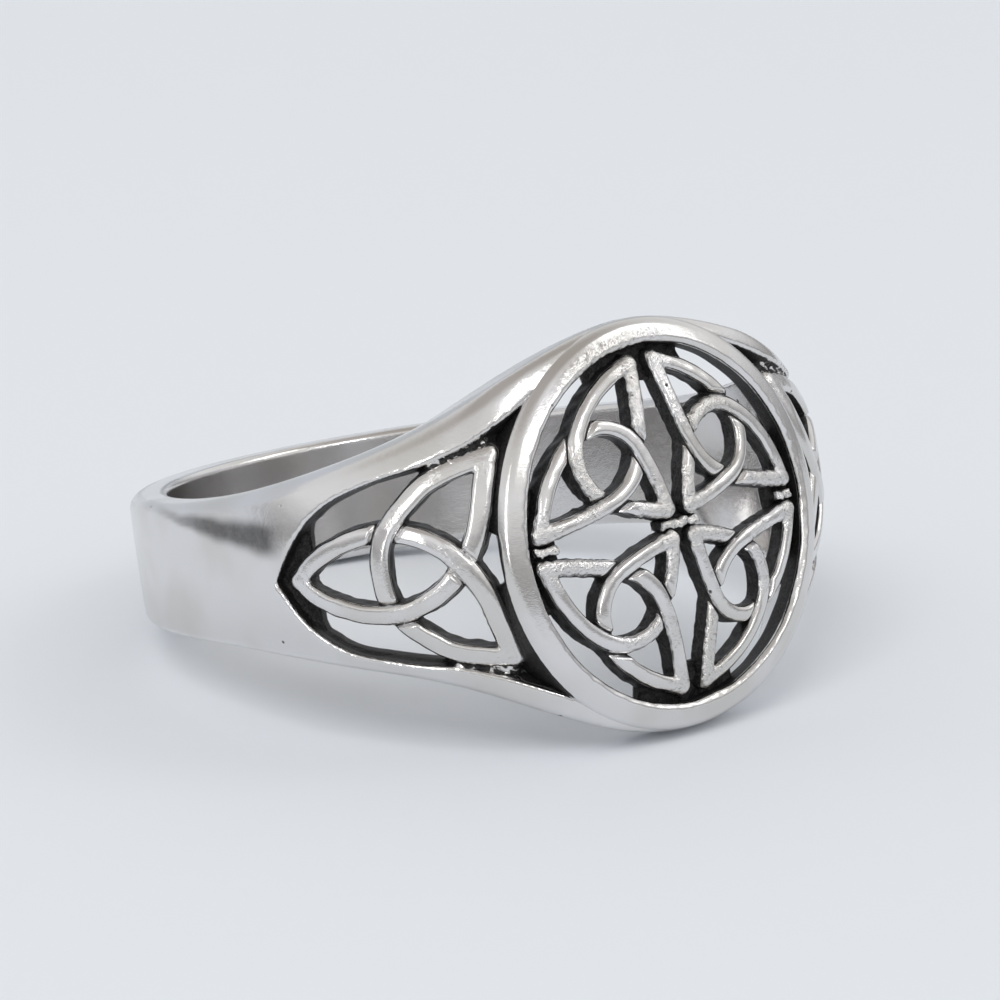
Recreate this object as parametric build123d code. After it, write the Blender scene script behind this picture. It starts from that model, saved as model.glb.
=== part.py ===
"""A cast silver ring with a round, domed face of four interlaced three-cornered knots,
and one such knot in a pointed window on each shoulder.

The ring is drawn about its own finger axis, Z, with its face towards -Y. At the end it is
tipped back as it lies on a table, on the bottom of its face and the lower edge of its band.
"""
import os
from math import asin, atan2, cos, degrees, hypot, radians, sin, sqrt

from build123d import *

os.makedirs("parts", exist_ok=True)

# Band
FINGER_BORE = 18.5        # inside diameter
BACK_WALL = 1.25          # thickness of the band behind the finger
EDGE_WALL = 1.6           # thickness of the band's edges beside the face
CROWN = 1.16              # how far the shoulders bulge above that
BACK_WIDTH = 4.2          # width of the band behind the finger
OUTER_ROUNDING = 0.45     # radius of the band's outer edges
INNER_ROUNDING = 0.2      # radius of the band's inner edges

# Face
FACE_DIAMETER = 12.6      # outside of the round rim
FACE_PITCH = 3.0          # degrees that the face leans out at its bottom
FACE_DROP = 0.18          # its middle sits this much below the middle of the band
RIM_WIDTH = 0.82          # the rim, seen from the front
RIM_STEP = 0.2            # how far the rim stands above the knots
RIM_DEPTH = 0.98          # thickness of an upright face's rim over the finger, where it is thinnest
RIM_ROUNDING = 0.28       # radius of the rim's outer edge
RIM_CREST = 0.2           # share of the rim's width from its inner edge to its crest
CREST_DROP = 0.3          # share of the rim's step that its inner edge lies below the crest
CREST_ROUNDING = 0.05     # radius of the rim's inner edge
DOME_RADIUS = 20.0        # the knots lie on a part of a sphere
HEAD_WALL = 0.65          # the face is hollow from behind, down to this thickness
HOLLOW_SPREAD = 0.5       # and the hollow widens by this for each mm
HOLLOW_REACH = 4.0        # over this length
LATTICE_DEPTH = 0.7       # thickness of the knots of the face
STRAND_WIDTH = 0.48       # the flat top of one strand of the face
TIP_GAP = 0.3             # from the knots' tips to the rim
WEB_SINK = 0.45           # the webs between the tips lie this much below the knots
WEB_DEPTH = 0.8           # and go this far down
WEB_REACH = 1.9           # how far a web goes along the rim, each side of the tips
WEB_EDGE = 0.925          # where a web begins, as a share of the tips' distance from the middle
WEB_GAP_EDGE = 0.83       # and where it begins between two tips
BRIDGE_WIDTH = 0.26       # the small bars between two tips
BRIDGE_SINK = 0.12        # their tops lie this much below the knots
BRIDGE_LENGTH = 0.28      # the middle bar's length, as a share of the tips' distance from the middle
SIDE_BRIDGE_LENGTH = 0.14 # and the length of the bars beside the rim

# Shoulders
BULGE_RADIUS = 8.0        # the bulge of a shoulder is a part of a ball
BULGE_OUT = 4.01          # from the finger axis to the ball's middle
BULGE_ANGLE = 42.7        # degrees from the face to the ball's middle
SHOULDER_WALL = 1.2       # the bulge is hollow from behind, down to this thickness
WINDOW_ANGLE = 49.0       # degrees from the face to the direction in which a window is cut
WINDOW_LENGTH = 8.25      # from its pointed end to its corners beside the rim
WINDOW_SHIFT = 0.442      # share of that length that lies behind that direction
WINDOW_WIDTH = 8.8        # between those corners
WINDOW_DROP = 0.18        # the window sits this much below the middle of the left shoulder
WINDOW_LEDGE = 0.2        # the opening is smaller than the window by this much all round
FLOOR_SINK = 0.65         # the recessed floors lie this much below the bulge
FLOOR_LEAST = 0.5         # and are nowhere thinner over the finger than this
KNOT_LENGTH = 6.6         # the shoulder's knot along the band
KNOT_WIDTH = 6.7          # and across it
KNOT_DEPTH = 0.85         # thickness of its strands
KNOT_STRAND = 0.54        # width of its strands at the pointed end
KNOT_SPREAD = 0.2         # share by which they are wider beside the rim
KNOT_SINK = 0.1           # the knot lies this much below the bulge
KNOT_INSET = 0.55         # from the window's pointed end to the knot's
BACK_FLOOR = 0.1          # the floor at the pointed end covers this share of the knot's length
GAP_WIDTH = 0.105         # half the small opening beside the rim, as a share of the knot's width
GAP_END = 0.985           # and where that opening ends, as a share of the knot's length
FLOOR_END = 2.6           # from the knot's end to past the floors' ends under the rim

# Interlacing
CROSSING_DEPTH = 0.25     # the strand that passes under is lowered by this
CROSSING_GAP = 0.14       # clear width beside the strand that passes over
CROSSING_REACH = 1.7      # the gap goes this far from the crossing, in widths of a strand

BORE = FINGER_BORE / 2
FACE = FACE_DIAMETER / 2
RIM_INSIDE = FACE - RIM_WIDTH
RIM_MIDDLE = FACE - RIM_WIDTH / 2
TIP_REACH = RIM_INSIDE - TIP_GAP         # from the middle of the face to the knots' tips
WINDOW_TIP = -WINDOW_SHIFT * WINDOW_LENGTH
KNOT_TIP = WINDOW_TIP + KNOT_INSET
HALF_BACK = BACK_WIDTH / 2
BACK_RADIUS = BORE + BACK_WALL
OVERSIZE = 2 * (BACK_RADIUS + FACE)      # longer than anything that it cuts
SEAT = 0.03                              # the inner parts stay this far out of the bore


def sagitta(radius):
    """How far the dome has dropped at a distance from its middle."""
    return DOME_RADIUS - sqrt(DOME_RADIUS**2 - radius**2)


DOME_TOP = BORE + RIM_DEPTH - RIM_STEP + sagitta(FACE)
FRONT = Plane(origin=(0, 0, 0), x_dir=(1, 0, 0), z_dir=(0, -1, 0))
OUTWARD = radians(WINDOW_ANGLE)
SHOULDER_PLANE = Plane(origin=(0, 0, -WINDOW_DROP), x_dir=(cos(OUTWARD), -sin(OUTWARD), 0),
                       z_dir=(-sin(OUTWARD), -cos(OUTWARD), 0))

# Sections of half the band, from the face (0 degrees) to behind the finger (180 degrees).
# Flare: 0 is the width behind the finger and 1 the face's. Rise: at its edges, 0 is the back's
# thickness and 1 that beside the face. Crown: how far the middle stands above the edges. Drop: how far
# the section is lowered, in times the face's drop.
SECTIONS = [
    # angle, flare, rise, crown, drop
    (0, 1.000, 1.0, 0.15, 1.4),
    (14, 0.915, 1.0, 0.42, 1.2),
    (28, 0.690, 1.0, 0.84, 0.4),
    (42, 0.425, 1.2, 0.90, 0.0),
    (58, 0.228, 1.2, 0.70, 0.0),
    (78, 0.070, 0.4, 0.25, 0.0),
    (105, 0.0, 0.0, 0.04, 0.0),
    (142, 0.0, 0.0, 0.02, 0.0),
    (180, 0.0, 0.0, 0.02, 0.0),
]

# Half of a window's outline, as shares of its length from the pointed end, and of half its width.
WINDOW_EDGE = [
    # along, across
    (0.0, 0.0),
    (0.079, 0.234),
    (0.200, 0.473),
    (0.321, 0.573),
    (0.503, 0.655),
    (0.685, 0.732),
    (0.806, 0.807),
    (1.0, 1.0),
]

# The strands of one knot of the face, as shares of the distance from the middle to the tips.
# The quarter's corner is at (0, 0); side and up run along its two straight sides.
OUTER_STRAND = [
    # side, up
    (0.093, 0.959),
    (0.152, 0.623),
    (0.296, 0.296),
    (0.623, 0.152),
    (0.959, 0.093),
]
INNER_STRAND = [
    # side, up
    (0.093, 0.959),
    (0.195, 0.925),
    (0.389, 0.827),
    (0.545, 0.681),
    (0.632, 0.467),
    (0.564, 0.268),
    (0.370, 0.158),
    (0.185, 0.103),
    (0.086, 0.086),
]

# The strands of a shoulder's knot, as shares of its length from the tip at the back,
# and of its width from the middle line.
CROSS_STRAND = [
    # along, across
    (0.962, 0.455),
    (0.799, 0.417),
    (0.687, 0.370),
    (0.596, 0.298),
    (0.478, 0.167),
    (0.443, 0.0),
    (0.478, -0.167),
    (0.596, -0.298),
    (0.687, -0.370),
    (0.799, -0.417),
    (0.962, -0.455),
]
LONG_STRAND = [
    # along, across
    (0.046, 0.0),
    (0.107, 0.063),
    (0.247, 0.140),
    (0.401, 0.178),
    (0.556, 0.171),
    (0.710, 0.102),
    (0.826, -0.018),
    (0.895, -0.152),
    (0.932, -0.300),
    (0.962, -0.455),
]


def band_section(angle, flare, rise, crown, drop):
    """One section of the band, in the plane through the finger axis at that angle."""
    half = HALF_BACK + flare * (FACE - HALF_BACK)
    edge = BACK_RADIUS + rise * (EDGE_WALL - BACK_WALL)
    top = ThreePointArc((edge, -half), (edge + crown * CROWN, 0), (edge, half))
    section = make_face([top, Polyline(top @ 1, (BORE, half), (BORE, -half), top @ 0)])
    section = fillet(section.vertices().sort_by(Axis.X)[2:], OUTER_ROUNDING)
    section = fillet(section.vertices().sort_by(Axis.X)[:2], INNER_ROUNDING)
    turn, level = radians(angle), -drop * FACE_DROP
    outward = (-sin(turn), -cos(turn), 0)
    return Plane(origin=(0, 0, level), x_dir=outward, z_dir=(-cos(turn), sin(turn), 0)) * section


def dome(depth=0.0):
    """The ball whose surface lies below the top of the face's knots by a depth."""
    return Pos(0, DOME_RADIUS - DOME_TOP, 0) * Sphere(DOME_RADIUS - depth)


def on_face(shape):
    """A shape of the face, moved from an upright face in the middle of the band to the leaning one."""
    return Pos(0, 0, -FACE_DROP) * shape.rotate(Axis((0, -DOME_TOP, 0), (1, 0, 0)), -FACE_PITCH)


def bulge(depth=0.0):
    """The ball whose surface lies below the left shoulder's by a depth."""
    turn = radians(BULGE_ANGLE)
    return Pos(-BULGE_OUT * sin(turn), -BULGE_OUT * cos(turn), 0) * Sphere(BULGE_RADIUS - depth)


def bore_core():
    """The finger's space, a little larger than the bore."""
    return Cylinder(BORE + SEAT, OVERSIZE)


def band():
    """The plain band with its flared shoulders, open inside the rim."""
    before = [(-angle, *shares) for angle, *shares in reversed(SECTIONS[1:3])]
    after = [(360 - angle, *shares) for angle, *shares in reversed(SECTIONS[-3:-1])]
    ribbon = loft([band_section(*row) for row in before + SECTIONS + after])
    half = ribbon & Pos(-OVERSIZE / 2, 0, 0) * Box(OVERSIZE, OVERSIZE, OVERSIZE)
    whole = (half + mirror(half, about=Plane.YZ)) & on_face(dome())
    return whole - on_face(extrude(FRONT * Circle(RIM_MIDDLE), amount=OVERSIZE))


def rim():
    """The round frame of the face: a crisp inner edge, and a slope to the outside."""
    crest = RIM_INSIDE + RIM_WIDTH * RIM_CREST
    top = RIM_STEP + DOME_TOP - sagitta(crest)
    side = RIM_STEP + DOME_TOP - sagitta(FACE)
    edge = top - RIM_STEP * CREST_DROP
    deep = BORE / 2
    profile = FilletPolyline(
        (RIM_INSIDE, -deep), (RIM_INSIDE, -edge), (crest, -top), (FACE, -side), (FACE, -deep),
        radius=[0, CREST_ROUNDING, RIM_WIDTH * RIM_CREST, RIM_ROUNDING, 0], close=True)
    return on_face(revolve(make_face(profile), axis=Axis.Y)) - bore_core()


def hollow():
    """The space behind the face and the shoulders that is left out to save silver."""
    left = bulge(SHOULDER_WALL)
    level = DOME_TOP - sagitta(RIM_INSIDE)
    wide = RIM_INSIDE + HOLLOW_SPREAD * HOLLOW_REACH
    profile = Polyline((0, -DOME_TOP), (RIM_INSIDE, -DOME_TOP), (RIM_INSIDE, -level),
                       (wide, HOLLOW_REACH - level), (0, HOLLOW_REACH - level), close=True)
    behind = on_face(revolve(make_face(profile), axis=Axis.Y))
    return (left + left.rotate(Axis.Y, 180) + behind) & on_face(dome(HEAD_WALL))


def strand(path, width, spread, extra=0.0, steps=10):
    """A flat strip along a curve, with round ends. A shoulder's widens by the spread towards the rim."""
    def half(place):
        along = (place.X - KNOT_TIP) / KNOT_LENGTH
        return width * (1 + spread * along) / 2 + extra

    left, right = [], []
    for step in range(steps + 1):
        place = path.position_at(step / steps)
        along = path.tangent_at(step / steps)
        across = Vector(-along.Y, along.X) * half(place)
        left.append(place + across)
        right.insert(0, place - across)
    one, other = Spline(*left), Spline(*right)
    strip = make_face([one, Line(one @ 1, other @ 0), other, Line(other @ 1, one @ 0)])
    for place in (path @ 0, path @ 1):
        strip += Pos(place.X, place.Y) * Circle(half(place))
    return strip


def crossing(first, second, steps=60):
    """Where two strands of a knot cross, away from the tip that they share."""
    inside = [step / steps for step in range(steps // 8, steps - steps // 8 + 1)]
    places = [second @ share for share in inside]
    pairs = ((((first @ share) - place).length, share) for share in inside for place in places)
    return first @ min(pairs)[1]


def knot(paths, width, spread, plane, shell, groove_floor):
    """Three interlaced strands in a shell. Each passes over the next one of the list."""
    strips = [extrude(plane * strand(path, width, spread), amount=OVERSIZE) & shell for path in paths]
    for over in range(len(paths)):
        under = (over + 1) % len(paths)
        place = crossing(paths[over], paths[under])
        reach = Pos(place.X, place.Y) * Circle(width * CROSSING_REACH)
        groove = strand(paths[over], width, spread, CROSSING_GAP) & reach
        strips[under] -= extrude(plane * groove, amount=OVERSIZE) - groove_floor
    return strips


def quarter_knot():
    """The knot in the face's upper left quarter."""
    left = Spline(*[(-side * TIP_REACH, up * TIP_REACH) for side, up in INNER_STRAND])
    above = Spline(*[(-up * TIP_REACH, side * TIP_REACH) for side, up in INNER_STRAND])
    outer = Spline(*[(-side * TIP_REACH, up * TIP_REACH) for side, up in OUTER_STRAND])
    shell = dome() - dome(LATTICE_DEPTH)
    strips = knot([left, above, outer], STRAND_WIDTH, 0, FRONT, shell, dome(CROSSING_DEPTH))
    return strips[0].fuse(*strips[1:])


def webs():
    """The recessed webs: one beside the rim at the end of each gap, and one in the middle."""
    half = OUTER_STRAND[0][0] * TIP_REACH
    inner, deep = WEB_EDGE * TIP_REACH, WEB_GAP_EDGE * TIP_REACH
    shell = dome(WEB_SINK) - dome(WEB_DEPTH)
    edge = (Circle(RIM_MIDDLE) - Circle(inner)) & Pos(0, RIM_INSIDE) * Rectangle(2 * WEB_REACH, RIM_INSIDE)
    edge += Pos(0, (deep + RIM_MIDDLE) / 2) * Rectangle(2 * half, RIM_MIDDLE - deep)
    web = extrude(FRONT * edge, amount=OVERSIZE) & shell
    middle = extrude(FRONT * Rectangle(2 * half, 2 * half), amount=OVERSIZE) & shell
    return [web.rotate(Axis.Y, 90 * turn) for turn in range(4)] + [middle]


def bridges():
    """The small bars that join two tips: at the left, in the middle and at the right."""
    shell = dome(BRIDGE_SINK) - dome(LATTICE_DEPTH - 2 * SEAT)
    middle = Rectangle(BRIDGE_LENGTH * TIP_REACH, BRIDGE_WIDTH)
    length = SIDE_BRIDGE_LENGTH * TIP_REACH
    side = Pos(TIP_REACH - length / 2, 0) * Rectangle(length, BRIDGE_WIDTH)
    bars = [middle, side, side.rotate(Axis.Z, 180)]
    return [extrude(FRONT * bar, amount=OVERSIZE) & shell for bar in bars]


def lattice():
    """Everything inside the rim."""
    first = quarter_knot()
    inside = [first.rotate(Axis.Y, 90 * turn) for turn in range(4)] + webs() + bridges()
    return [on_face(part) - bore_core() for part in inside]


def window_outline(inset=0.0):
    """A window's outline on the shoulder: pointed at the back, open towards the rim."""
    tip = WINDOW_TIP + 2 * inset
    length = WINDOW_LENGTH - 2 * inset
    edge = [(tip + along * length, across * (WINDOW_WIDTH / 2 - inset)) for along, across in WINDOW_EDGE]
    upper = Spline(*edge)
    lower = Spline(*[(x, -y) for x, y in edge])
    return make_face([upper, Line(upper @ 1, lower @ 1), lower])


def on_knot(along, across):
    """A point of the flat drawing of a shoulder, from shares of the knot's length and width."""
    return KNOT_TIP + along * KNOT_LENGTH, across * KNOT_WIDTH


def shoulder_paths():
    """The three strands of a shoulder's knot, clockwise from the tip at the back."""
    rows = (CROSS_STRAND, LONG_STRAND, [(along, -across) for along, across in LONG_STRAND])
    return [Spline(*[on_knot(along, across) for along, across in row]) for row in rows]


def shoulder_recess():
    """The recess of a window, down to its floor."""
    recess = extrude(SHOULDER_PLANE * window_outline(), amount=OVERSIZE)
    return recess - bulge(FLOOR_SINK) - Cylinder(BORE + FLOOR_LEAST, OVERSIZE)


def shoulder_opening():
    """The opening through a window's floor, and under the rim beside it."""
    opening = window_outline(WINDOW_LEDGE)
    opening -= Pos(on_knot(BACK_FLOOR, 0)[0] - OVERSIZE / 2, 0) * Rectangle(OVERSIZE, OVERSIZE)
    beside = [(GAP_END, 0), (GAP_END, GAP_WIDTH)]
    beside += [(along, -across) for along, across in LONG_STRAND[:-1] if -across > GAP_WIDTH / 2]
    beside += [row for row in CROSS_STRAND if row[1] > CROSS_STRAND[3][1]]
    far = KNOT_TIP + KNOT_LENGTH + FLOOR_END
    for side in (-1, 1):
        under = [on_knot(along, side * across) for along, across in beside]
        floor = under + [(under[-1][0], side * WINDOW_WIDTH), (far, side * WINDOW_WIDTH), (far, 0)]
        opening -= make_face(Polyline(*floor, close=True))
    return extrude(SHOULDER_PLANE * opening, amount=OVERSIZE)


def shoulder_knot():
    """The knot in a shoulder's window."""
    shell = bulge(KNOT_SINK) - bulge(KNOT_SINK + KNOT_DEPTH)
    lowered = bulge(KNOT_SINK + CROSSING_DEPTH)
    strips = knot(shoulder_paths(), KNOT_STRAND, KNOT_SPREAD, SHOULDER_PLANE, shell, lowered)
    return strips[0].fuse(*strips[1:])


def resting_tilt():
    """How far the ring tips back when it lies on its face's bottom and its band's lower edge."""
    pitch = radians(FACE_PITCH)
    deep = (DOME_TOP - BORE - SEAT + FACE * sin(pitch)) / cos(pitch)
    front = (-(BORE + SEAT), FACE_DROP + FACE * cos(pitch) + deep * sin(pitch))
    rear = (BACK_RADIUS - OUTER_ROUNDING, HALF_BACK - OUTER_ROUNDING)
    run, rise = rear[0] - front[0], front[1] - rear[1]
    return degrees(atan2(rise, run) - asin(OUTER_ROUNDING / hypot(run, rise)))


def both_shoulders(shape):
    """The left shoulder's shape, and the right one's, turned half round the face's axis."""
    return [shape, shape.rotate(Axis.Y, 180)]


body = band() - both_shoulders(shoulder_recess())
body = body + rim() - hollow() - both_shoulders(shoulder_opening())
ring = body.fuse(*lattice(), *both_shoulders(shoulder_knot()))

ring = ring.rotate(Axis.X, -resting_tilt())
box = ring.bounding_box()
ring = Pos(-box.center().X, -box.center().Y, -box.min.Z) * ring
ring.label = "ring"
export_step(ring, "parts/ring.step")
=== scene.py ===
"""Looks of the knot ring: one silver casting, lying on a pale table."""

import math

import bpy
import numpy as np
import openvdb
from mathutils import Matrix, Vector


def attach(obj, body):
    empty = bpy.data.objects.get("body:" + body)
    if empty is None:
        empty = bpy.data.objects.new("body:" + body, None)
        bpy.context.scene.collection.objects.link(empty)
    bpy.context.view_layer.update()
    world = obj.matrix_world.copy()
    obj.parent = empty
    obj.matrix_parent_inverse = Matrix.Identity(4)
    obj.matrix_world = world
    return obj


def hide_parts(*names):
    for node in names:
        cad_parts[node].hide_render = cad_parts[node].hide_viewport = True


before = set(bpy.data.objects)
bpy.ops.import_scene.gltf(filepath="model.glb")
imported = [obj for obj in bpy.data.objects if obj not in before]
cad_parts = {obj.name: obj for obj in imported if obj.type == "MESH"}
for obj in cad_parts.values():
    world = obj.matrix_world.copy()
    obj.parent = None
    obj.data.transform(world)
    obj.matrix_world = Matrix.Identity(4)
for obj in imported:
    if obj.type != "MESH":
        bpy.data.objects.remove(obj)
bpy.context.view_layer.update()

# Band: the plain shank behind the finger, which widens into two shoulders beside the face. It is cast
# in silver with everything else, so each piece is a smooth skin round a field of distances, in
# millimetres, about the finger's axis and with the face towards -Y.
BORE = 9.25
OUTER_ROUNDING = 0.45
INNER_ROUNDING = 0.2
FACE = 6.3                             # half the face's width
RIM_WIDTH = 0.82
RIM_INSIDE = FACE - RIM_WIDTH
RIM_MIDDLE = FACE - RIM_WIDTH / 2
RIM_STEP = 0.2
RIM_DEPTH = 0.98
DOME_RADIUS = 20.0
DOME_TOP = BORE + RIM_DEPTH - RIM_STEP + DOME_RADIUS - math.sqrt(DOME_RADIUS**2 - FACE**2)
FACE_PITCH = math.radians(3.0)
FACE_DROP = 0.18
HEAD_WALL = 0.65
SHOULDER_WALL = 1.2
SHOULDER_START = 3.0                   # from here outwards, on either side, the band is a shoulder
BULGE_RADIUS = 8.0
BULGE_MIDDLE = (-2.719, -2.947, 0.0)   # the bulge of the left shoulder is a part of a ball
HOLLOW_REACH = 4.0                     # how far the hollow goes down behind the rim
HOLLOW_SPREAD = 0.5                    # and how much it widens on the way
HOLLOW_SLANT = 0.894                   # the share that turns a step sideways into one square to its wall
HOLLOW_FILLET = 0.3
HOLLOW_ROUNDING = 0.16
DOME_CREASE = 0.3                      # the rounding where the band meets the face's dome
SEAT_ROUNDING = 0.1
TILT = math.radians(13.019)
AXIS_CENTRE = (0.0, 0.5789, 4.3226)    # the middle of the finger's axis, as the ring lies
ARC_DEGREE = 0.18                      # millimetres along the band in one degree
WIDENING = [
    # degrees from the face, half width, radius of the edges and of the middle, height of its middle line
    (0, 6.30, 10.85, 11.024, -0.252),
    (14, 5.943, 10.85, 11.337, -0.216),
    (28, 4.998, 10.85, 11.824, -0.072),
    (42, 3.885, 10.92, 11.964, 0.0),
    (58, 3.058, 10.92, 11.732, 0.0),
    (78, 2.394, 10.64, 10.930, 0.0),
    (105, 2.10, 10.50, 10.546, 0.0),
    (142, 2.10, 10.50, 10.523, 0.0),
    (180, 2.10, 10.50, 10.523, 0.0),
]


def curve_through(points, count):
    """Evenly numbered points on a smooth curve through the given ones."""
    points = np.array(points, float)
    reach = np.append(0.0, np.cumsum(np.linalg.norm(np.diff(points, axis=0), axis=1)))
    size = len(points)
    step = np.diff(reach)
    sums, bends = np.eye(size), np.zeros_like(points)
    for i in range(1, size - 1):
        sums[i, i - 1:i + 2] = step[i - 1], 2 * (step[i - 1] + step[i]), step[i]
        bends[i] = 6 * ((points[i + 1] - points[i]) / step[i] - (points[i] - points[i - 1]) / step[i - 1])
    bends = np.linalg.solve(sums, bends)
    at = np.linspace(0.0, reach[-1], count)
    i = np.clip(np.searchsorted(reach, at, side="right") - 1, 0, size - 2)
    a, b, h = (reach[i + 1] - at)[:, None], (at - reach[i])[:, None], step[i][:, None]
    return ((bends[i] * a**3 + bends[i + 1] * b**3) / (6 * h)
            + (points[i] / h - bends[i] * h / 6) * a + (points[i + 1] / h - bends[i + 1] * h / 6) * b)


def ramp(value, start, end):
    """0 before the start, 1 after the end, and a soft step between."""
    t = np.clip((value - start) / (end - start), 0.0, 1.0)
    return t * t * (3.0 - 2.0 * t)


def join(a, b, fillet):
    """Either of two shapes, with a fillet where they meet."""
    near = np.maximum(fillet - np.abs(a - b), 0.0) / fillet
    return np.minimum(a, b) - near * near * fillet / 4


def common(a, b, rounding):
    """What two shapes share, with its edges rounded."""
    return -join(-a, -b, rounding)


def rounded_box(a, b, radius):
    """Within both distances, with rounded corners."""
    a, b = a + radius, b + radius
    return np.minimum(np.maximum(a, b), 0.0) + np.hypot(np.maximum(a, 0.0), np.maximum(b, 0.0)) - radius


def waver(p, length, seed):
    """A soft unevenness between about -1 and 1, as of wax worked by hand."""
    rng = np.random.default_rng(seed)
    total = 0.0
    for _ in range(7):
        way = rng.normal(size=3)
        way *= 2 * math.pi / (length * rng.uniform(0.7, 1.6) * np.linalg.norm(way))
        total = total + np.sin(p @ way + rng.uniform(0, 2 * math.pi))
    return total / 3.5


class Drawing:
    """Distances to a line or to an outline drawn in the flat, kept on a fine grid."""

    def __init__(self, line, closed=False, margin=1.6, step=0.02):
        self.line = np.array(line, float)
        self.step = step
        self.low = self.line.min(0) - margin
        size = np.ceil((self.line.max(0) + margin - self.low) / step).astype(int) + 1
        u = self.low[0] + step * np.arange(size[0])[:, None]
        v = self.low[1] + step * np.arange(size[1])[None, :]
        best = np.full(size, 1e9)
        inside = np.zeros(size, bool)
        ends = np.roll(self.line, -1, axis=0) if closed else self.line[1:]
        for (u0, v0), (u1, v1) in zip(self.line, ends):
            du, dv = u1 - u0, v1 - v0
            t = np.clip(((u - u0) * du + (v - v0) * dv) / (du * du + dv * dv + 1e-12), 0.0, 1.0)
            best = np.minimum(best, (u - u0 - t * du)**2 + (v - v0 - t * dv)**2)
            if closed and v0 != v1:
                inside ^= ((v0 > v) != (v1 > v)) & (u < u0 + (v - v0) * du / dv)
        self.grid = np.where(inside, -1.0, 1.0) * np.sqrt(best)

    def __call__(self, u, v):
        size = np.array(self.grid.shape)
        a = np.clip((u - self.low[0]) / self.step, 0, size[0] - 1.001)
        b = np.clip((v - self.low[1]) / self.step, 0, size[1] - 1.001)
        i, j = a.astype(int), b.astype(int)
        a, b = a - i, b - j
        g = self.grid
        return ((g[i, j] * (1 - a) + g[i + 1, j] * a) * (1 - b)
                + (g[i, j + 1] * (1 - a) + g[i + 1, j + 1] * a) * b)


def as_it_lies(p):
    """From the ring's own frame, in millimetres, to the table's, in metres."""
    c, s = math.cos(TILT), math.sin(TILT)
    x, y, z = np.asarray(p, float).T
    return np.stack([x, c * y + s * z, c * z - s * y], -1) * 0.001 + np.array(AXIS_CENTRE) * 0.001


def skin(name, field, low, high, step, **marks):
    """A closed mesh on a field's surface, in the ring's own frame. Each mark is kept at every point."""
    low = np.array(low, float)
    size = np.ceil((np.array(high) - low) / step).astype(int) + 1
    y, z = np.meshgrid(low[1] + step * np.arange(size[1]), low[2] + step * np.arange(size[2]), indexing="ij")
    block = np.empty(size, np.float32)
    for i in range(size[0]):
        slab = np.stack([np.full(y.size, low[0] + step * i), y.ravel(), z.ravel()], -1)
        block[i] = np.clip(field(slab), -3 * step, 3 * step).reshape(y.shape)
    grid = openvdb.FloatGrid(3 * step)
    grid.copyFromArray(block)
    points, quads = grid.convertToQuads(isovalue=0.0)
    points = low + step * points.astype(float)
    tiny = step / 8
    for _ in range(3):
        here = field(points)
        slope = np.stack([field(points + tiny * way) - field(points - tiny * way) for way in np.eye(3)], -1)
        slope /= 2 * tiny
        move = -(here / np.maximum((slope**2).sum(1), 0.25))[:, None] * slope
        points += np.clip(move, -step / 2, step / 2)
    mesh = bpy.data.meshes.new(name)
    mesh.from_pydata(points.tolist(), [], quads.tolist())
    for mark, shade in marks.items():
        kept = mesh.attributes.new(mark, "FLOAT", "POINT")
        kept.data.foreach_set("value", shade(points).astype(np.float32))
    mesh.shade_smooth()
    piece = bpy.data.objects.new(name, mesh)
    bpy.context.scene.collection.objects.link(piece)
    return piece


def along_band(column):
    """One size of the band at any distance from the face along it, and how fast it grows."""
    before = (-WIDENING[1][0], *WIDENING[1][1:])
    line = curve_through([(row[0] * ARC_DEGREE, row[column]) for row in [before] + WIDENING], 1600)
    line = line[np.argsort(line[:, 0])].T
    further = 0.1

    def at(arc):
        here = np.interp(arc, *line)
        return here, (np.interp(arc + further, *line) - here) / further

    return at


HALF_WIDTH, EDGE_RADIUS, MIDDLE_RADIUS, MIDDLE_LINE = [along_band(column) for column in (1, 2, 3, 4)]


def band_shell(p):
    """The plain band, before the windows are cut."""
    x, y, z = p.T
    radius = np.hypot(x, y)
    arc = np.degrees(np.arctan2(np.abs(x), -y)) * ARC_DEGREE
    half, lean = HALF_WIDTH(arc)
    edge, middle = EDGE_RADIUS(arc)[0], MIDDLE_RADIUS(arc)[0]
    z = z - MIDDLE_LINE(arc)[0]
    crown = middle - edge
    ball = (half**2 + crown**2) / (2 * crown)
    level = np.sqrt(ball**2 - np.minimum(np.abs(z), half)**2)
    above = (radius - middle + ball - level) * level / ball
    across = (np.abs(z) - half) / np.sqrt(1 + lean**2)
    outer = rounded_box(above, across, OUTER_ROUNDING)
    inner = rounded_box(BORE - radius, across, INNER_ROUNDING)
    return np.maximum(outer, inner)


def from_face(q):
    """From an upright face in the middle of the band to where the leaning one is."""
    c, s = math.cos(FACE_PITCH), math.sin(FACE_PITCH)
    x, y, z = q.T
    return np.stack([x, c * (y + DOME_TOP) + s * z - DOME_TOP, c * z - s * (y + DOME_TOP) - FACE_DROP], -1)


def to_face(p):
    """From where the leaning face is back to the upright one."""
    c, s = math.cos(FACE_PITCH), math.sin(FACE_PITCH)
    x, y, z = p.T
    y, z = y + DOME_TOP, z + FACE_DROP
    return np.stack([x, c * y - s * z - DOME_TOP, s * y + c * z], -1)


def dome_depth(q):
    """How far a point of the upright face lies below the ball on which its knots lie."""
    x, y, z = q.T
    return DOME_RADIUS - np.sqrt(x**2 + (y - DOME_RADIUS + DOME_TOP)**2 + z**2)


def bulge_depth(p):
    """How far a point lies below the ball of its shoulder's bulge."""
    x, y, z = p.T
    return BULGE_RADIUS - np.sqrt((BULGE_MIDDLE[0] + np.abs(x))**2 + (y - BULGE_MIDDLE[1])**2 + z**2)


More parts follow.
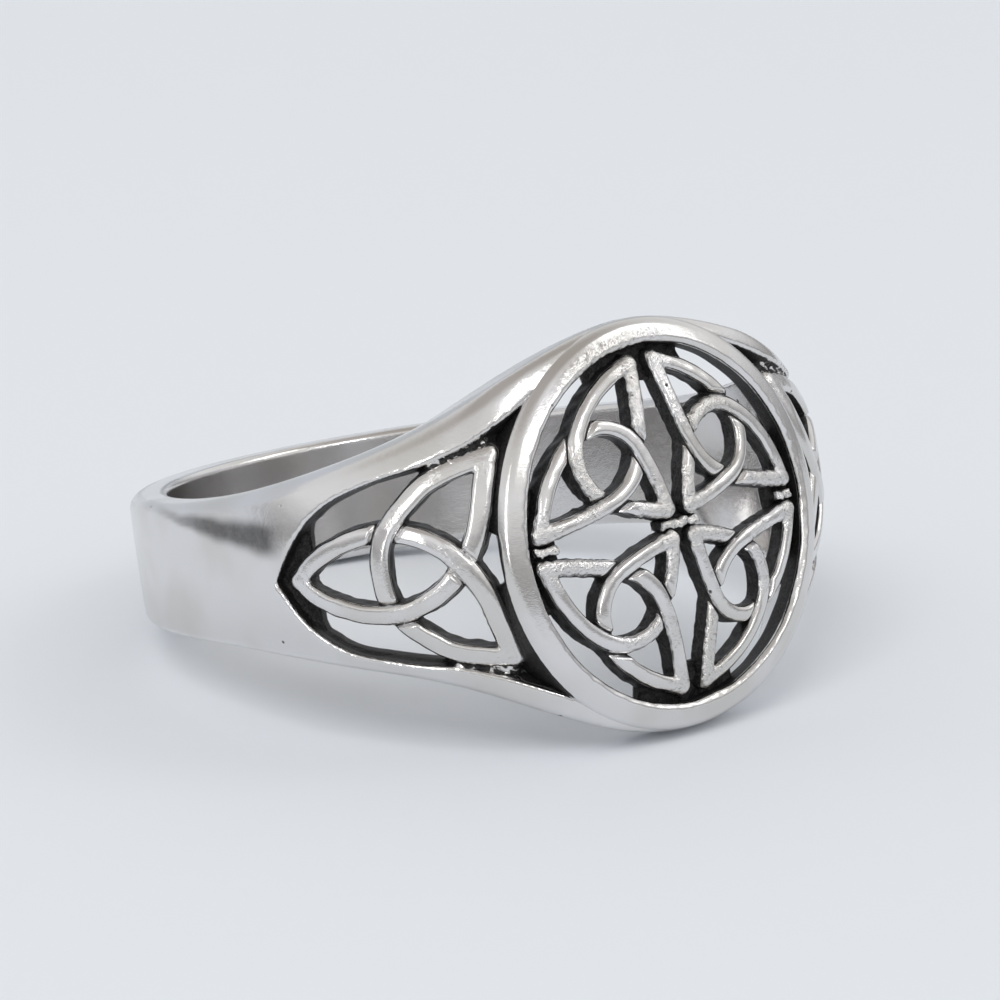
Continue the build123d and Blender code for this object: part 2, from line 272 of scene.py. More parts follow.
def hollow(p):
    """The space behind the face and the shoulders that was left out to save silver."""
    q = to_face(p)
    deep = q[:, 1] + DOME_TOP - DOME_RADIUS + math.sqrt(DOME_RADIUS**2 - RIM_INSIDE**2)
    beside = np.hypot(q[:, 0], q[:, 2]) - RIM_INSIDE - HOLLOW_SPREAD * np.clip(deep, 0, HOLLOW_REACH)
    behind = np.maximum(beside * HOLLOW_SLANT, deep - HOLLOW_REACH)
    space = join(SHOULDER_WALL - bulge_depth(p), behind, HOLLOW_FILLET)
    return common(HEAD_WALL - dome_depth(q), space, HOLLOW_FILLET)


# Shoulder windows: a pointed opening through each shoulder, with a recessed floor left at its pointed
# end and in its two corners beside the rim. The walls lean in a little, as they must to be cast.
WINDOW_ANGLE = math.radians(49.0)
WINDOW_LENGTH = 8.25
WINDOW_TIP = -0.442 * WINDOW_LENGTH
WINDOW_WIDTH = 8.8
WINDOW_DROP = 0.18
WINDOW_LEAN = 0.2
WINDOW_LEDGE = 0.12
WINDOW_ROUNDING = 0.09
FLOOR_SINK = 0.65
FLOOR_ROUNDING = 0.1
FLOOR_WALL = 0.5                       # what a floor leaves over the finger's hole at least
OPENING_FILLET = 0.12
SEAM_RISE = 0.45
SEAM_BESIDE = 2.4                      # where the seams start, from the window's middle line
SEAM_END = 3.2                         # and where they end, along it
SEAM_FADE = 0.3
WINDOW_EDGE = [
    # share of the length from the pointed end, share of half the width
    (0.0, 0.0), (0.079, 0.234), (0.200, 0.473), (0.321, 0.573), (0.503, 0.655), (0.685, 0.732),
    (0.806, 0.807), (1.0, 1.0), (1.12, 1.12),
]
KNOT_TIP = WINDOW_TIP + 0.55
KNOT_LENGTH, KNOT_WIDTH = 6.6, 6.7
OPENING_NECK = [
    # shares of the knot's length and width: the opening's edge under the cross strand and beside the rim
    (0.687, 0.395), (0.799, 0.417), (0.962, 0.455), (0.932, 0.300), (0.895, 0.152), (0.978, 0.105),
    (0.985, 0.060),
]


def window_line(inset):
    """Half of the window's outline, smaller by an inset."""
    tip = WINDOW_TIP + 2 * inset
    rows = [(tip + a * (WINDOW_LENGTH - 2 * inset), b * (WINDOW_WIDTH / 2 - inset)) for a, b in WINDOW_EDGE]
    return curve_through(rows, 60)


def both_halves(half):
    """An outline from its half above the middle line."""
    return np.concatenate([half, (half * (1, -1))[::-1]])


def on_knot(along, across):
    """From shares of a shoulder knot's length and width to its window's flat coordinates."""
    return KNOT_TIP + along * KNOT_LENGTH, across * KNOT_WIDTH


WINDOW = Drawing(both_halves(window_line(0.0)), closed=True)
edge = window_line(WINDOW_LEDGE)
start, tie = on_knot(0.10, 0)[0], on_knot(0.667, 0)[0]
edge = edge[(edge[:, 0] > start + 0.4) & (edge[:, 0] < tie)]
neck = [on_knot(*row) for row in OPENING_NECK]
rounded = [(start, 0), (start, edge[0, 1] - 0.5), (start + 0.1, edge[0, 1] - 0.18)]
OPENING = Drawing(both_halves(np.concatenate([rounded, edge, neck])), closed=True)


def on_shoulder(p):
    """Flat coordinates of a shoulder's window, for either shoulder, and the depth below its bulge."""
    x, y, z = p.T
    z = np.where(x > 0, -z, z)
    x = -np.abs(x)
    return x * math.cos(WINDOW_ANGLE) - y * math.sin(WINDOW_ANGLE), z + WINDOW_DROP, bulge_depth(p)


def seam(u, v):
    """Beside each knot's long sides the floor stands higher, in a rough seam."""
    along = ramp(u, tie, tie + SEAM_FADE) * (1.0 - ramp(u, SEAM_END, SEAM_END + SEAM_FADE))
    return along * ramp(np.abs(v), SEAM_BESIDE, SEAM_BESIDE + SEAM_FADE)


def coming_in(depth):
    """How far a leaning wall has come in at a depth."""
    return np.clip(depth, -0.3, 1.5) * WINDOW_LEAN


def opening_cut(p):
    """The hole that goes right through a shoulder."""
    u, v, depth = on_shoulder(p)
    return OPENING(u, v) + 0.4 * coming_in(depth) + 0.03 * waver(p, 1.6, 7)


def window_cut(p):
    """What is missing from a shoulder."""
    u, v, depth = on_shoulder(p)
    lean = coming_in(depth) * (0.9 + 0.7 * ramp(v, -2.0, 2.0))
    coarse = seam(u, v)
    over_finger = BORE + FLOOR_WALL - np.hypot(p[:, 0], p[:, 1])
    floor = np.maximum(depth - FLOOR_SINK + SEAM_RISE * coarse, over_finger)
    floor += 0.03 * waver(p, 0.5, 6) + 0.06 * coarse * waver(p, 0.22, 8)
    recess = common(WINDOW(u, v) + lean + 0.03 * waver(p, 2.2, 5), floor, FLOOR_ROUNDING)
    return join(recess, opening_cut(p), OPENING_FILLET)


def band_field(p):
    """The band with its windows, its hollow and the seat of the rim. Far from its skin, cuts don't matter."""
    body = band_shell(p)
    near = body < 0.4
    if not near.any():
        return body
    shell, part = p[near], body[near]
    q = to_face(shell)
    x, y, z = q.T
    part = common(part, -dome_depth(q), DOME_CREASE)
    seat = RIM_MIDDLE - np.hypot(x, z) - 8 * ramp(y, -6, -4)
    part = common(part, seat, SEAT_ROUNDING)
    part = common(part, -hollow(shell), HOLLOW_ROUNDING)
    shoulder = (np.abs(x) > SHOULDER_START) & (y < 1)
    part[shoulder] = common(part[shoulder], -window_cut(shell[shoulder]), WINDOW_ROUNDING)
    body[near] = part
    return body


def band_oxide(p):
    """The windows' walls and floors keep their black, and the polished outside has none."""
    u, v, _ = on_shoulder(p)
    shoulder = (np.abs(p[:, 0]) > SHOULDER_START) & (p[:, 1] < 0)
    sunk = ramp(WINDOW_ROUNDING - WINDOW(u, v), 0.0, 0.10) * ramp(-band_shell(p), 0.05, 0.16)
    sunk *= 1.0 - 0.75 * seam(u, v) * ramp(waver(p, 0.22, 8), -0.2, 0.5)
    return shoulder * sunk * (1.0 - 0.6 * ramp(-hollow(p), -0.25, -0.03))


def band_rough(p):
    """The floors were never smoothed."""
    return band_oxide(p) * ramp(on_shoulder(p)[2], FLOOR_SINK - 0.15, FLOOR_SINK - 0.05)


def band_painted_reflection(p):
    """A painted dark reflection, in a long brushed streak on the left shank, above its middle. It thins out
    towards the back.
    """
    x, y, z = p.T
    turn = np.degrees(np.arctan2(-x, -y))
    middle = 1.95 - (100 - turn) * 0.026
    width = 0.12 + 0.30 * ramp(-turn, -98, -68)
    along = ramp(turn, 64, 69) * (1.0 - 0.85 * ramp(turn, 80, 104))
    soft = 1.0 - ramp(np.abs(z - middle + 0.05 * waver(p, 1.0, 9)), 0.4 * width, 1.6 * width)
    return along * soft * (x < 0)


# The band's last mark is a painted dark reflection on its left shank.
band = skin("band", band_field, (-11.1, -10.9, -6.5), (11.1, 10.8, 6.5), 0.1,
            oxide=band_oxide, rough=band_rough, stain=band_painted_reflection)


class Wire:
    """A socket in a node tree. Sums on it add Math nodes."""

    def __init__(self, socket):
        self.socket = socket

    @classmethod
    def node(cls, tree, kind, settings=None, values=None, out=0):
        """Adds a node: its settings first, then the values or links of its sockets."""
        node = tree.nodes.new(kind)
        for name, value in (settings or {}).items():
            if name == "stops":
                ramp_stops = node.color_ramp.elements
                while len(ramp_stops) < len(value):
                    ramp_stops.new(0.5)
                for stop, (place, colour) in zip(ramp_stops, value):
                    stop.position, stop.color = place, colour
            else:
                setattr(node, name, value)
        for name, value in (values or {}).items():
            if isinstance(value, Wire):
                tree.links.new(value.socket, node.inputs[name])
            else:
                node.inputs[name].default_value = value
        return cls(node.outputs[out])

    def math(self, operation, other):
        return self.node(self.socket.id_data, "ShaderNodeMath", {"operation": operation}, {0: self, 1: other})

    def __add__(self, other):
        return self.math("ADD", other)

    __radd__ = __add__

    def __sub__(self, other):
        return self.math("SUBTRACT", other)

    def __rsub__(self, other):
        return (self * -1.0).math("ADD", other)

    def __mul__(self, other):
        return self.math("MULTIPLY", other)

    __rmul__ = __mul__

    def step(self, start, end):
        """0 below the start, 1 above the end, and a soft step between."""
        settings = {"interpolation_type": "SMOOTHSTEP"}
        return self.node(self.socket.id_data, "ShaderNodeMapRange", settings,
                         {"Value": self, "From Min": start, "From Max": end})


def silver():
    """Polished sterling silver, blackened with liver of sulphur wherever a polishing wheel can't reach.

    The marks on each piece say where it is black, where it stayed rough and, on the band, where a dark
    reflection is painted on."""
    pale_silver, warm_silver = (0.76, 0.75, 0.755, 1), (0.68, 0.665, 0.645, 1)
    soot, worn_soot = (0.010, 0.010, 0.012, 1), (0.05, 0.046, 0.044, 1)
    material = bpy.data.materials.new("polished_and_blackened_silver")
    material.use_nodes = True
    tree = material.node_tree
    tree.nodes.clear()

    def add(kind, settings=None, values=None, out=0):
        return Wire.node(tree, kind, settings, values, out)

    place = add("ShaderNodeTexCoord", out="Object")
    place = add("ShaderNodeVectorMath", {"operation": "SCALE"}, {0: place, "Scale": 1000.0})
    oxide = add("ShaderNodeAttribute", {"attribute_name": "oxide"}, out="Fac")
    rough = add("ShaderNodeAttribute", {"attribute_name": "rough"}, out="Fac")
    # The band's painted dark reflection, read from its mark.
    painted_reflection = add("ShaderNodeAttribute", {"attribute_name": "stain"}, out="Fac")

    def noise(scale, detail=3.0, roughness=0.5, at=place):
        values = {"Vector": at, "Scale": scale, "Detail": detail, "Roughness": roughness}
        return add("ShaderNodeTexNoise", {}, values)

    def blend(share, a, b):
        return add("ShaderNodeMix", {"data_type": "RGBA"}, {"Factor": share, 6: a, 7: b}, out=2)

    clouds = noise(0.35, 2.0)
    wear = noise(3.2, 4.0, 0.6)
    grain = noise(14.0, 3.0, 0.6)
    black = (oxide + (wear - 0.5) * 0.45 + (grain - 0.5) * 0.25).step(0.36, 0.62)
    black = black * oxide.step(0.02, 0.3)
    cells = add("ShaderNodeTexVoronoi", {"feature": "F1"}, {"Vector": place, "Scale": 1.1})
    chosen = add("ShaderNodeTexVoronoi", {"feature": "F1"}, {"Vector": place, "Scale": 1.1}, out="Color")
    chosen = add("ShaderNodeSeparateColor", {}, {"Color": chosen}, out="Red")
    pits = (1.0 - (cells + (grain - 0.5) * 0.06).step(0.04, 0.075)) * chosen.step(0.6, 0.62)
    brushed = {"Vector": place, "Rotation": (0.3, 0.2, 0.5), "Scale": (1.0, 5.0, 9.0)}
    stretched = add("ShaderNodeMapping", {}, brushed)
    hairlines = noise(4.0, 2.0, 0.5, stretched)

    bright = blend(clouds.step(0.35, 0.68), pale_silver, warm_silver)
    dull = blend(grain.step(0.35, 0.7), soot, worn_soot)
    specks = rough * grain.step(0.57, 0.68) * 0.8
    # Painted dark reflection: the band's mark mixes the silver towards the soot colour and dulls its gloss,
    # together with the real blackening, pits and specks.
    painted_reflection = painted_reflection * (0.66 + wear * 0.22)
    stain = 1.0 - (1.0 - black) * (1.0 - pits * 0.85) * (1.0 - specks) * (1.0 - painted_reflection)
    colour = blend(stain, bright, dull)
    matt = rough * 0.04 + painted_reflection * 0.1 + black * (0.22 + grain * 0.2)
    gloss = 0.12 + clouds * 0.05 + hairlines * 0.05 + matt
    height = hairlines * 0.002 + wear * 0.006 - pits * 0.03 + (rough * 0.035 + black * 0.012) * grain
    bump = add("ShaderNodeBump", {}, {"Strength": 1.0, "Distance": 0.001, "Height": height})
    shader = add("ShaderNodeBsdfPrincipled", {}, {
        "Base Color": colour, "Roughness": gloss, "Metallic": 1.0 - black * 0.55, "Normal": bump})
    tree.links.new(shader.socket, tree.nodes.new("ShaderNodeOutputMaterial").inputs["Surface"])
    return material


SILVER = silver()


def finish_casting(piece, of_face=False):
    """Lays a piece down as the ring lies, gives it its silver, and says what it stands for."""
    mesh = piece.data
    points = np.empty(len(mesh.vertices) * 3)
    mesh.vertices.foreach_get("co", points)
    points = points.reshape(-1, 3)
    mesh.vertices.foreach_set("co", as_it_lies(from_face(points) if of_face else points).ravel())
    mesh.materials.clear()
    mesh.materials.append(SILVER)
    mesh.update()
    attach(piece, "root")
    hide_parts("ring")


finish_casting(band)

# Knots: three interlaced strands each, with rounded polished tops and black sides. Each strand passes
# over the next one, which dips under it.
STRAND_WIDTH = 0.48
STRAND_ROUNDING = 0.12
STRAND_CROWN = 0.05                    # how much a top falls towards its sides
UNDERSIDE_ROUNDING = 0.08
CROSSING_FILLET = 0.07
TIP_REACH = RIM_INSIDE - 0.3
LATTICE_DEPTH = 0.7
DIP = 0.2
DIP_START, DIP_END = 5.4, 3.8          # distances from a crossing, in half widths
STRAND_POINTS = 240
POINTS_AT_AN_END = 35                  # two strands also meet at their ends, which is no crossing
OUTER_STRAND = [(0.093, 0.959), (0.152, 0.623), (0.296, 0.296), (0.623, 0.152), (0.959, 0.093)]
INNER_STRAND = [
    # shares of the distance from the middle of the face to the knots' tips, along and up
    (0.093, 0.959), (0.195, 0.925), (0.389, 0.827), (0.545, 0.681), (0.632, 0.467), (0.564, 0.268),
    (0.370, 0.158), (0.185, 0.103), (0.086, 0.086),
]


class Knot:
    """Three strands drawn in the flat, each over the next."""

    def __init__(self, paths, width, thickness, seed, edge=STRAND_ROUNDING, untouched=1.0):
        self.half, self.thickness, self.seed = width / 2, thickness, seed
        self.edge, self.untouched = edge, untouched
        self.lines = [curve_through(path, STRAND_POINTS) for path in paths]
        self.strands = [Drawing(line) for line in self.lines]
        self.ends = np.array([line[i] for line in self.lines for i in (0, -1)])
        self.crossings = []
        for over in range(3):
            middle = self.lines[over][POINTS_AT_AN_END:-POINTS_AT_AN_END]
            under = self.strands[(over + 1) % 3]
            self.crossings.append(middle[np.argmin(under(*middle.T))])

    def lowering(self, u, v, number):
        """How far a strand's top is lowered to pass under the one before it."""
        over = (number - 1) % 3
        reach = np.hypot(u - self.crossings[over][0], v - self.crossings[over][1])
        near = 1.0 - ramp(reach, self.half * DIP_END, self.half * DIP_START)
        return DIP * near * (1.0 - ramp(self.strands[over](u, v), self.half + 0.01, self.half + 0.2))

    def coarse(self, u, v, p):
        """Where the casting was never smoothed: at the tips and in a few patches."""
        tip = np.sqrt(np.min([(u - a)**2 + (v - b)**2 for a, b in self.ends], axis=0))
        patches = ramp(waver(p, 1.9, self.seed + 2), 0.25, 0.8)
        return np.maximum(1.0 - ramp(tip, 0.3, 1.0), patches) * self.untouched

    def field(self, u, v, depth, p, wider=0.0):
        """Distances to the knot, from flat coordinates and the depth below the surface it lies in."""
        body = None
        soft = 0.018 * waver(p, 1.3, self.seed) + 0.012 * waver(p, 0.5, self.seed + 1)
        soft += 0.028 * self.coarse(u, v, p) * waver(p, 0.24, self.seed + 3)
        for number, strand in enumerate(self.strands):
            beside = strand(u, v) - wider
            top = self.lowering(u, v, number) + STRAND_CROWN * (beside / self.half)**2 + 0.4 * soft
            side = beside - self.half - 0.05 * np.clip(depth, 0, 1) - soft
            side -= 0.02 * waver(p, 0.45, 11) * ramp(depth, 0.1, 0.3)
            upper = rounded_box(side, top - depth, self.edge)
            lower = rounded_box(side, depth - self.thickness, UNDERSIDE_ROUNDING)
            part = np.maximum(upper, lower)
            body = part if body is None else join(body, part, CROSSING_FILLET)
        return body

    def oxide(self, u, v, depth):
        """Black on the sides and in the dips beside a crossing, and bright on the tops and below."""
        highest = self.thickness
        for number, strand in enumerate(self.strands):
            off_strand = ramp(strand(u, v), self.half + 0.10, self.half + 0.12)
            highest = np.minimum(highest, self.lowering(u, v, number) + 9 * off_strand)
        sunk = np.maximum(ramp(depth - highest, 0.09, 0.20), ramp(depth, 0.12, 0.26))
        return sunk * (1.0 - 0.75 * ramp(depth, self.thickness - 0.12, self.thickness - 0.02))


QUARTER = Knot([
    [(-a * TIP_REACH, b * TIP_REACH) for a, b in INNER_STRAND],
    [(-b * TIP_REACH, a * TIP_REACH) for a, b in INNER_STRAND],
    [(-a * TIP_REACH, b * TIP_REACH) for a, b in OUTER_STRAND],
], STRAND_WIDTH, LATTICE_DEPTH, 21)


def quarter_field(p):
    return QUARTER.field(p[:, 0], p[:, 2], dome_depth(p), p)


def quarter_oxide(p):
    return QUARTER.oxide(p[:, 0], p[:, 2], dome_depth(p))


def quarter_rough(p):
    """The casting's skin shows at the tips and in patches."""
    return 0.8 * QUARTER.coarse(p[:, 0], p[:, 2], p)


quarter = skin("quarter", quarter_field, (-5.5, -11.1, -0.1), (0.1, -8.7, 5.6), 0.05,
               oxide=quarter_oxide, rough=quarter_rough)


def repeating_tree():
    """Repeats a piece about the face's axis."""
    tree = bpy.data.node_groups.new("turned_about_the_face", "GeometryNodeTree")
    tree.is_modifier = True
    face = tree.interface
    face.new_socket("Geometry", in_out="INPUT", socket_type="NodeSocketGeometry")
    for name, kind in (("Count", "Int"), ("Step", "Float"), ("Start", "Float")):
        face.new_socket(name, in_out="INPUT", socket_type="NodeSocket" + kind)
    face.new_socket("Silver", in_out="INPUT", socket_type="NodeSocketMaterial")
    face.new_socket("Geometry", in_out="OUTPUT", socket_type="NodeSocketGeometry")

    def add(kind, settings=None, values=None, out=0):
        return Wire.node(tree, kind, settings, values, out)

    given = tree.nodes.new("NodeGroupInput")
    one, count, turn, start, metal = [Wire(socket) for socket in given.outputs[:5]]
    line = add("GeometryNodeMeshLine", {}, {"Count": count, "Offset": (0.0, 0.0, 0.0)})
    angle = start + turn * add("GeometryNodeInputIndex")
    about = add("ShaderNodeCombineXYZ", {}, {"Y": angle})
    turned = add("GeometryNodeInstanceOnPoints", {}, {"Points": line, "Instance": one, "Rotation": about})
    whole = add("GeometryNodeRealizeInstances", {}, {"Geometry": turned})
    done = add("GeometryNodeSetMaterial", {}, {"Geometry": whole, "Material": metal})
    tree.links.new(done.socket, tree.nodes.new("NodeGroupOutput").inputs[0])
    return tree


TURNED = repeating_tree()


def plain_result(piece, tree, name, **inputs):
    """What a tree makes of a piece, as a plain mesh of its own."""
    made = bpy.data.objects.new(name, piece.data.copy())
    bpy.context.scene.collection.objects.link(made)
    modifier = made.modifiers.new("shape", "NODES")
    modifier.node_group = tree
    for item in tree.interface.items_tree:
        if item.item_type == "SOCKET" and item.in_out == "INPUT" and item.name in inputs:
            modifier[item.identifier] = inputs[item.name]
    bpy.context.view_layer.update()
    mesh = bpy.data.meshes.new_from_object(made.evaluated_get(bpy.context.evaluated_depsgraph_get()))
    made.modifiers.remove(modifier)
    made.data = mesh
    mesh.name = name
    return made


for side, turn in (("upper", 0.0), ("lower", math.pi)):
    pair = plain_result(quarter, TURNED, side + "_knots",
                        Count=2, Step=math.pi / 2, Start=turn, Silver=SILVER)
    finish_casting(pair, of_face=True)
bpy.data.objects.remove(quarter)

# Shoulder knots: one in each window, of the same kind. The right one is the left one turned half round.
KNOT_SINK = 0.1
KNOT_WIDENING = 0.055                  # how much wider a strand is on either side, at the rim
HALF_CROSS = [
    # share of the knot's length from the tip at the back, share of its width from the middle line
    (0.962, 0.455), (0.799, 0.417), (0.687, 0.370), (0.596, 0.298), (0.478, 0.167), (0.443, 0.0),
]
CROSS_STRAND = HALF_CROSS + [(a, -b) for a, b in HALF_CROSS[-2::-1]]
LONG_STRAND = [
    (0.046, 0.0), (0.107, 0.063), (0.247, 0.140), (0.401, 0.178), (0.556, 0.171), (0.710, 0.102),
    (0.826, -0.018), (0.895, -0.152), (0.932, -0.300), (0.962, -0.455),
]
SIDE = Knot([
    [on_knot(*row) for row in CROSS_STRAND],
    [on_knot(*row) for row in LONG_STRAND],
    [on_knot(a, -b) for a, b in LONG_STRAND],
], 0.54, 0.85, 22, edge=0.14, untouched=0.35)


def side_field(p):
    """The strands widen a little towards the rim."""
    u, v, depth = on_shoulder(p)
    return SIDE.field(u, v, depth - KNOT_SINK, p, KNOT_WIDENING * (u - KNOT_TIP) / KNOT_LENGTH)


def side_oxide(p):
    u, v, depth = on_shoulder(p)
    return SIDE.oxide(u, v, depth - KNOT_SINK)


def side_rough(p):
    u, v, _ = on_shoulder(p)
    return SIDE.coarse(u, v, p)


side_knot = skin("side_knot", side_field, (-11.2, -10.9, -3.9), (-4.0, -2.0, 3.7), 0.05,
                 oxide=side_oxide, rough=side_rough)
both = plain_result(side_knot, TURNED, "shoulder_knots", Count=2, Step=math.pi, Start=0.0, Silver=SILVER)
finish_casting(both)
bpy.data.objects.remove(side_knot)

# Rim: the round frame of the face. Its outside slopes down into the shoulders, its crest runs along its
# inner edge, and it goes down to the finger's hole.
CREST = RIM_INSIDE + 0.2
RIM_SLOPE = 0.10
RIM_OUTER_ROUNDING = 0.28
RIM_INNER_ROUNDING = 0.07
RIM_CUT_ROUNDING = 0.1


def on_rim(q):
    """The distance from the face's axis, and the height above a rim without slope or crest."""
    x, y, z = q.T
    reach = np.hypot(x, z)
    below_middle = DOME_RADIUS - np.sqrt(DOME_RADIUS**2 - np.minimum(reach, 8)**2)
    return reach, -y - DOME_TOP + below_middle - RIM_STEP


def rim_field(q):
    p = from_face(q)
    reach, above = on_rim(q)
    uneven = 0.02 * waver(q, 1.5, 31)
    slope = above + RIM_SLOPE * np.maximum(reach - CREST, 0)
    inner_edge = above + 0.8 * np.maximum(CREST - 0.03 - reach, 0) + 0.012 * waver(q, 0.45, 32)
    top = np.maximum(slope, inner_edge) + 0.03 * rim_rough(q) * waver(q, 0.22, 33)
    outer = rounded_box(top, reach - FACE, RIM_OUTER_ROUNDING)
    inner = rounded_box(top, RIM_INSIDE - reach + uneven, RIM_INNER_ROUNDING)
    body = np.maximum(np.maximum(outer, inner), BORE + 0.01 - np.hypot(p[:, 0], p[:, 1]))
    return common(common(body, -hollow(p), HOLLOW_ROUNDING), -opening_cut(p), RIM_CUT_ROUNDING)


def rim_oxide(q):
    """Black on the inner wall, and outside where the rim stands in a shoulder's window."""
    reach, above = on_rim(q)
    inside = ramp(RIM_INSIDE + 0.12 - reach, 0.0, 0.1) * ramp(-above, 0.16, 0.34)
    p = from_face(q)
    u, v, _ = on_shoulder(p)
    outside = ramp(reach - FACE, -0.26, -0.12) * ramp(-above, 0.20, 0.32)
    outside *= ramp(WINDOW_ROUNDING - WINDOW(u, v), 0.0, 0.1) * (np.abs(q[:, 0]) > SHOULDER_START)
    off_finger = ramp(np.hypot(p[:, 0], p[:, 1]), BORE + 0.03, BORE + 0.25)
    return np.maximum(inside, outside) * off_finger


def rim_rough(q):
    """One patch on the crest, above and left of the middle, was never smoothed."""
    around = np.degrees(np.arctan2(q[:, 0], q[:, 2]))
    patch = ramp(around, -40, -25) * ramp(-around, -15, -5)
    return 0.6 * patch * ramp(RIM_INSIDE + 0.5 - np.hypot(q[:, 0], q[:, 2]), 0.0, 0.15)


rim = skin("rim", rim_field, (-6.5, -10.5, -6.5), (6.5, -6.5, 6.5), 0.06, oxide=rim_oxide, rough=rim_rough)
finish_casting(rim, of_face=True)

# Webs and bars: the recessed, rough floors between the knots' tips and the rim, one more in the middle,
# and the small bars that tie two tips together. They are left as they came from the mould.
WEB_SINK, WEB_DEPTH = 0.45, 0.78       # the webs' upper and lower sides, below the dome
WEB_REACH = 1.9
GAP_HALF = 0.093 * TIP_REACH
BAR_HALF = 0.13
BAR_SINK = 0.1


def web_field(q):
    u, v = q[:, 0], q[:, 2]
    depth = dome_depth(q)
    rough = 0.035 * waver(q, 0.33, 41) + 0.02 * waver(q, 0.17, 42)
    near, far = np.maximum(np.abs(u), np.abs(v)), np.minimum(np.abs(u), np.abs(v))
    reach = np.hypot(u, v)
    strip = np.maximum(0.925 * TIP_REACH - reach + 0.1 * waver(q, 1.1, 43), far - WEB_REACH)
    gap = np.maximum(0.83 * TIP_REACH - near + 0.06 * waver(q, 0.9, 44), far - GAP_HALF - 0.1)
    flat = np.maximum(join(strip, gap, 0.2), reach - RIM_MIDDLE)
    middle = near - GAP_HALF - 0.1
    floors = rounded_box(np.minimum(flat, middle), WEB_SINK + rough - depth, 0.06)
    long_bar = np.abs(u) - 0.14 * TIP_REACH
    end_bars = np.abs(np.abs(u) - 0.93 * TIP_REACH) - 0.07 * TIP_REACH
    flat_bars = np.maximum(np.minimum(long_bar, end_bars), np.abs(v) - BAR_HALF)
    bars = rounded_box(flat_bars + rough, BAR_SINK + rough - depth, 0.08)
    inside = BORE + 0.02 - np.hypot(*from_face(q).T[:2])
    return np.maximum(join(floors, bars, 0.1), np.maximum(depth - WEB_DEPTH, inside))


def web_under(q):
    """The undersides, which were rubbed clean with the rest of the inside."""
    near_finger = ramp(-np.hypot(*from_face(q).T[:2]), -BORE - 0.14, -BORE - 0.03)
    return np.maximum(ramp(dome_depth(q), WEB_DEPTH - 0.1, WEB_DEPTH - 0.02), near_finger)


def web_oxide(q):
    return ramp(dome_depth(q), 0.16, 0.34) * (1.0 - 0.85 * web_under(q))


def web_rough(q):
    return 1.0 - 0.8 * web_under(q)


webs = skin("webs", web_field, (-6.2, -11.1, -6.2), (6.2, -8.9, 6.2), 0.06, oxide=web_oxide, rough=web_rough)
finish_casting(webs, of_face=True)

# Table: a sheet of pale, matt paper under the ring, in metres. It curves up far behind, so that no edge
# of it shows.
SHEET_SIDE = [
    # from the front to the back, and up
    (-0.6, 0.0), (0.5, 0.0), (0.62, 0.02), (0.70, 0.08), (0.74, 0.18), (0.75, 0.6),
]
HALF_SHEET = 0.9
PAPER = (0.82, 0.855, 0.90, 1)
sheet = bpy.data.meshes.new("table")
rows = curve_through(SHEET_SIDE, 60)
sheet.from_pydata([(x, y, max(z, 0.0)) for y, z in rows for x in (-HALF_SHEET, HALF_SHEET)], [],
                  [(2 * i, 2 * i + 1, 2 * i + 3, 2 * i + 2) for i in range(len(rows) - 1)])
sheet.shade_smooth()
table = bpy.data.objects.new("table", sheet)
bpy.context.scene.collection.objects.link(table)
paper = bpy.data.materials.new("pale_paper")
paper.use_nodes = True
for name, value in (("Base Color", PAPER), ("Roughness", 1.0), ("Specular IOR Level", 0.0)):
    paper.node_tree.nodes["Principled BSDF"].inputs[name].default_value = value
sheet.materials.append(paper)

# Light: a soft lamp above on the left, a weaker one on the right, two narrow ones that only glint on the
# silver, and a pale room that it mirrors, darker near the table and overhead.
RING_MIDDLE = Vector((0, 0, 0.005))


def lamp(name, place, size, power):
    """A rectangular light that looks at the ring."""
    light = bpy.data.lights.new(name, "AREA")
    light.shape, light.size, light.size_y, light.energy = "RECTANGLE", *size, power
    holder = bpy.data.objects.new(name, light)
    bpy.context.scene.collection.objects.link(holder)
    holder.location = place
    holder.rotation_euler = (RING_MIDDLE - Vector(place)).to_track_quat("-Z", "Y").to_euler()
    return holder


lamp("key", (-0.75, -0.35, 1.10), (0.7, 0.7), 5.0).visible_glossy = False
lamp("fill", (0.8, -0.5, 0.8), (0.4, 0.6), 1.2)
lamp("glint", (-0.62, -0.42, 0.30), (0.05, 0.40), 0.7).visible_diffuse = False
lamp("front_glint", (0.15, -0.7, 0.50), (0.30, 0.06), 0.5).visible_diffuse = False

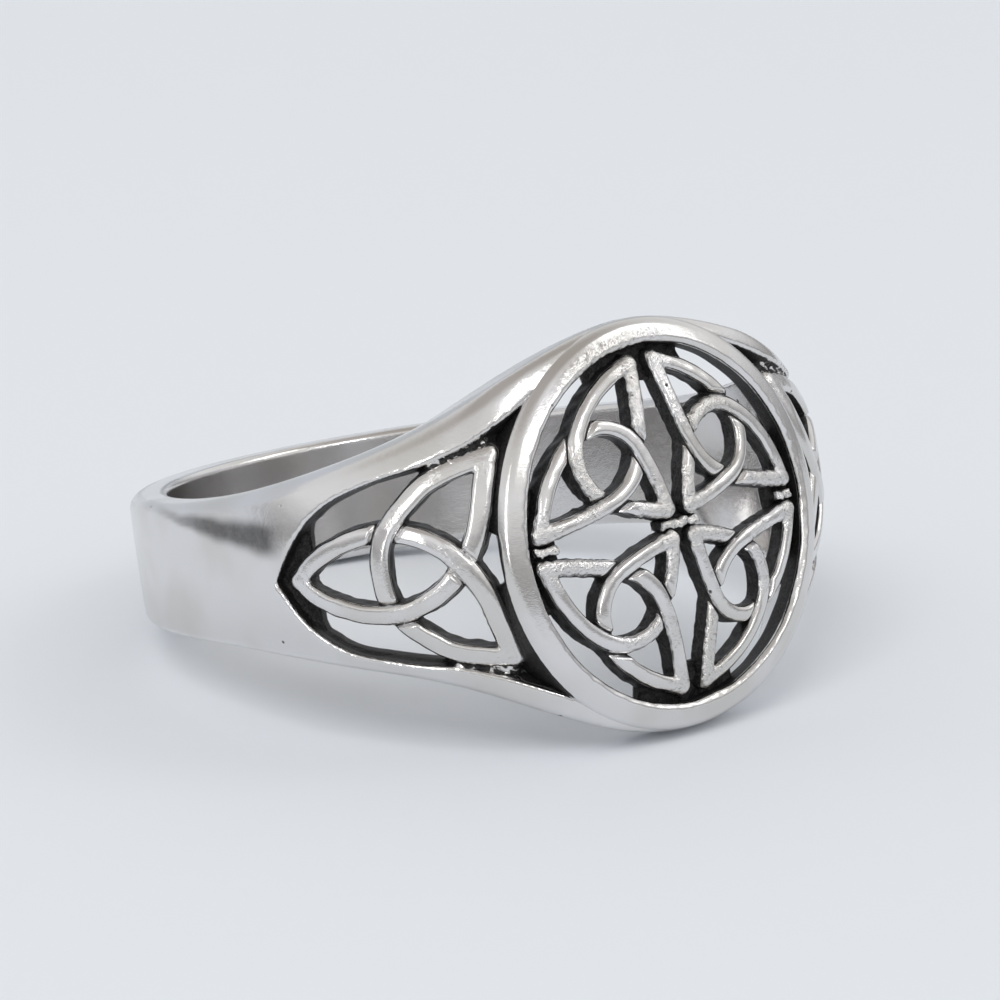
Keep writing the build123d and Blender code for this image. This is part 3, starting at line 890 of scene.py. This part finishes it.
world = bpy.data.worlds.new("studio")
bpy.context.scene.world = world
world.use_nodes = True
ROOM = [
    # how far up, from the level of the table to overhead, and the colour there
    (0.0, (0.34, 0.33, 0.33, 1)), (0.14, (0.52, 0.52, 0.53, 1)), (0.38, (1.0, 1.0, 1.0, 1)),
    (0.72, (0.90, 0.90, 0.90, 1)), (0.92, (0.56, 0.53, 0.50, 1)),
]
height = Wire.node(world.node_tree, "ShaderNodeTexCoord", out="Generated")
height = Wire.node(world.node_tree, "ShaderNodeSeparateXYZ", {}, {"Vector": height}, out="Z")
room = Wire.node(world.node_tree, "ShaderNodeValToRGB", {"stops": ROOM}, {"Fac": height})
world.node_tree.links.new(room.socket, world.node_tree.nodes["Background"].inputs["Color"])
world.node_tree.nodes["Background"].inputs["Strength"].default_value = 0.88
bpy.context.scene.view_settings.view_transform = "Standard"

# Camera: at the photograph's angle to the ring, a little above the table.
# Its angles are those to the ring's own frame, in which it looks at the middle of the finger's hole.
CAMERA_TURN, CAMERA_LIFT, CAMERA_ROLL = math.radians(-37.454), math.radians(6.859), math.radians(-7.958)
CAMERA_DISTANCE = 114.056
CAMERA_LENS, CAMERA_SHIFT = 126.0, (0.04215, 0.01183)
back = Vector((math.sin(CAMERA_TURN) * math.cos(CAMERA_LIFT), -math.cos(CAMERA_TURN) * math.cos(CAMERA_LIFT),
               math.sin(CAMERA_LIFT)))
level = Vector((math.cos(CAMERA_TURN), math.sin(CAMERA_TURN), 0.0))
above = back.cross(level)
right = math.cos(CAMERA_ROLL) * level + math.sin(CAMERA_ROLL) * above
up = math.cos(CAMERA_ROLL) * above - math.sin(CAMERA_ROLL) * level
lens = bpy.data.cameras.new("camera")
lens.lens, lens.sensor_width = CAMERA_LENS, 36.0
lens.shift_x, lens.shift_y = CAMERA_SHIFT
lens.clip_start, lens.clip_end = 0.005, 10.0
camera = bpy.data.objects.new("camera", lens)
bpy.context.scene.collection.objects.link(camera)
ends = as_it_lies(np.array([back * CAMERA_DISTANCE, right, up, back, (0, 0, 0)]))
turned = Matrix([((ends[i] - ends[4]) * 1000).tolist() for i in (1, 2, 3)]).transposed()
camera.matrix_world = Matrix.Translation(ends[0].tolist()) @ turned.to_4x4()
bpy.context.scene.camera = camera
